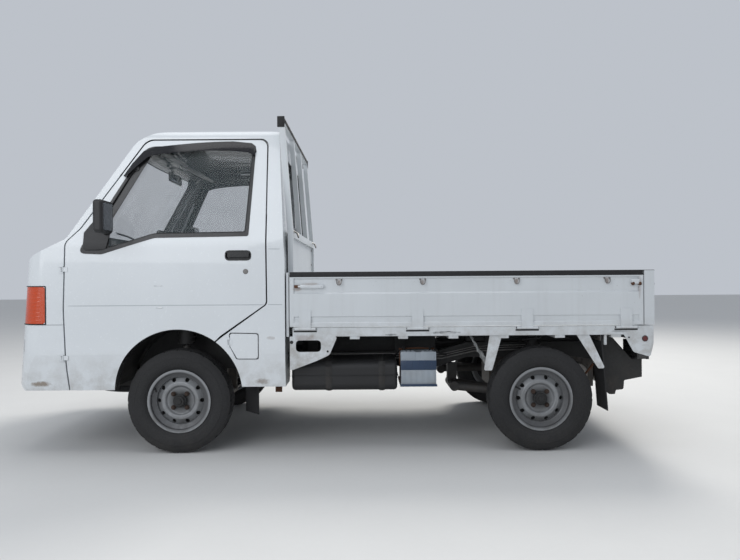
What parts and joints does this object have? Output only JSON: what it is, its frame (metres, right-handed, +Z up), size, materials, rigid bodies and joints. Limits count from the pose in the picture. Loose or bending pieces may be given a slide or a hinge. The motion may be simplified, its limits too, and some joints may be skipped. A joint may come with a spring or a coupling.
{
  "type": "drop-side light pickup truck",
  "caption": "Small cab-over pickup with hinged doors, drop-side load bed, guard frame behind the cab, steering and turning wheels.",
  "frame": {"origin": "on the ground, in the middle of the vehicle's length and width", "axes": "+X forward, +Y to the vehicle's left, +Z up"},
  "size_m": [3.3949, 1.81, 1.765],
  "materials": {
    "amber": "amber lens",
    "black_plastic": "grained black",
    "body_white": "gloss white paint, aged",
    "cast": "dirty cast metal",
    "glass": "clear, lightly tinted",
    "grey_plastic": "grained dark grey",
    "lens": "clear lens over reflector",
    "red_lens": "red lens",
    "rubber": "black rubber",
    "seat_cloth": "woven grey",
    "steel": "dull steel",
    "steel_rim": "silver painted steel",
    "tyre": "worn rubber",
    "underbody": "black chassis paint, dusty"
  },
  "bodies": {
    "vehicle": {"frame_rails": "underbody", "frame_mounts": "underbody", "frame_crossmembers": "underbody", "front_suspension": "underbody", "rack_housing": "cast", "cab_floor": "body_white", "cab_front": "body_white", "front_bumper": "body_white", "cab_roof": "body_white", "cab_back": "body_white", "cab_side_left": "body_white", "cab_side_right": "body_white", "windscreen": "glass", "rear_window": "glass", "headlamps": "lens", "turn_lamps": "amber", "dashboard": "grey_plastic", "seats": "seat_cloth", "bed_deck": "body_white", "headboard": "body_white", "guard_frame": "body_white", "tail_lamps": "red_lens", "powertrain": "cast", "exhaust": "steel", "fuel_tank": "black_plastic", "battery": "grey_plastic", "rear_bumper": "underbody", "splash_guards": "rubber", "rear_suspension": "underbody", "spare_tyre": "tyre", "spare_rim": "steel_rim"},
    "left_knuckle": {"knuckle_left": "cast"},
    "right_knuckle": {"knuckle_right": "cast"},
    "rack": {"steering_rack": "steel"},
    "wheel_helm": {"steering_wheel": "black_plastic"},
    "left_door": {"door_left": "body_white", "door_glass_left": "glass", "mirror_left": "black_plastic"},
    "right_door": {"door_right": "body_white", "door_glass_right": "glass", "mirror_right": "black_plastic"},
    "fuel_lid_body": {"fuel_lid": "body_white"},
    "left_gate": {"side_gate_left": "body_white"},
    "right_gate": {"side_gate_right": "body_white"},
    "rear_gate": {"tail_gate": "body_white"},
    "wheel_front_left": {"tyre_front_left": "tyre", "rim_front_left": "steel_rim"},
    "wheel_front_right": {"tyre_front_right": "tyre", "rim_front_right": "steel_rim"},
    "wheel_rear_left": {"tyre_rear_left": "tyre", "rim_rear_left": "steel_rim"},
    "wheel_rear_right": {"tyre_rear_right": "tyre", "rim_rear_right": "steel_rim"}
  },
  "joints": [
    {"name": "wheel_front_left_spin", "type": "hinge", "parent": "left_knuckle", "child": "wheel_front_left", "pos_m": [0.7875, 0.64, 0.27], "axis": [0, 1, 0], "continuous": true},
    {"name": "wheel_front_right_spin", "type": "hinge", "parent": "right_knuckle", "child": "wheel_front_right", "pos_m": [0.7875, -0.64, 0.27], "axis": [0, 1, 0], "continuous": true},
    {"name": "wheel_rear_left_spin", "type": "hinge", "parent": "vehicle", "child": "wheel_rear_left", "pos_m": [-1.0975, 0.64, 0.27], "axis": [0, 1, 0], "continuous": true},
    {"name": "wheel_rear_right_spin", "type": "hinge", "parent": "vehicle", "child": "wheel_rear_right", "pos_m": [-1.0975, -0.64, 0.27], "axis": [0, 1, 0], "continuous": true},
    {"name": "steer_left", "type": "hinge", "parent": "vehicle", "child": "left_knuckle", "pos_m": [0.7875, 0.54, 0.27], "axis": [0, 0, 1], "range_deg": [-35, 35]},
    {"name": "steer_right", "type": "hinge", "parent": "vehicle", "child": "right_knuckle", "pos_m": [0.7875, -0.54, 0.27], "axis": [0, 0, 1], "range_deg": [-35, 35]},
    {"name": "rack_slide", "type": "slide", "parent": "vehicle", "child": "rack", "axis": [0, 1, 0], "range_m": [-0.07, 0.07]},
    {"name": "steering_wheel_turn", "type": "hinge", "parent": "vehicle", "child": "wheel_helm", "pos_m": [1.066, -0.33, 1.118], "axis": [-0.6157, 0, 0.788], "range_deg": [-525.5, 525.5]},
    {"name": "door_left_hinge", "type": "hinge", "parent": "vehicle", "child": "left_door", "pos_m": [1.368, 0.74, 0.7], "axis": [0, 0, -1], "range_deg": [0, 65]},
    {"name": "door_right_hinge", "type": "hinge", "parent": "vehicle", "child": "right_door", "pos_m": [1.368, -0.74, 0.7], "axis": [0, 0, 1], "range_deg": [0, 65]},
    {"name": "side_gate_left_hinge", "type": "hinge", "parent": "vehicle", "child": "left_gate", "pos_m": [-0.7, 0.732, 0.644], "axis": [-1, 0, 0], "range_deg": [0, 170]},
    {"name": "side_gate_right_hinge", "type": "hinge", "parent": "vehicle", "child": "right_gate", "pos_m": [-0.7, -0.732, 0.644], "axis": [1, 0, 0], "range_deg": [0, 170]},
    {"name": "tail_gate_hinge", "type": "hinge", "parent": "vehicle", "child": "rear_gate", "pos_m": [-1.68, 0, 0.644], "axis": [0, -1, 0], "range_deg": [0, 170]},
    {"name": "fuel_lid_hinge", "type": "hinge", "parent": "vehicle", "child": "fuel_lid_body", "pos_m": [0.515, 0.7395, 0.58], "axis": [0, 0, -1], "range_deg": [0, 90]}
  ],
  "couplings": [
    {"joint": "steer_right", "follows": "steer_left", "ratio": 1},
    {"joint": "rack_slide", "follows": "steer_left", "m_per_rad": -0.1127},
    {"joint": "steering_wheel_turn", "follows": "steer_left", "ratio": 15}
  ]
}
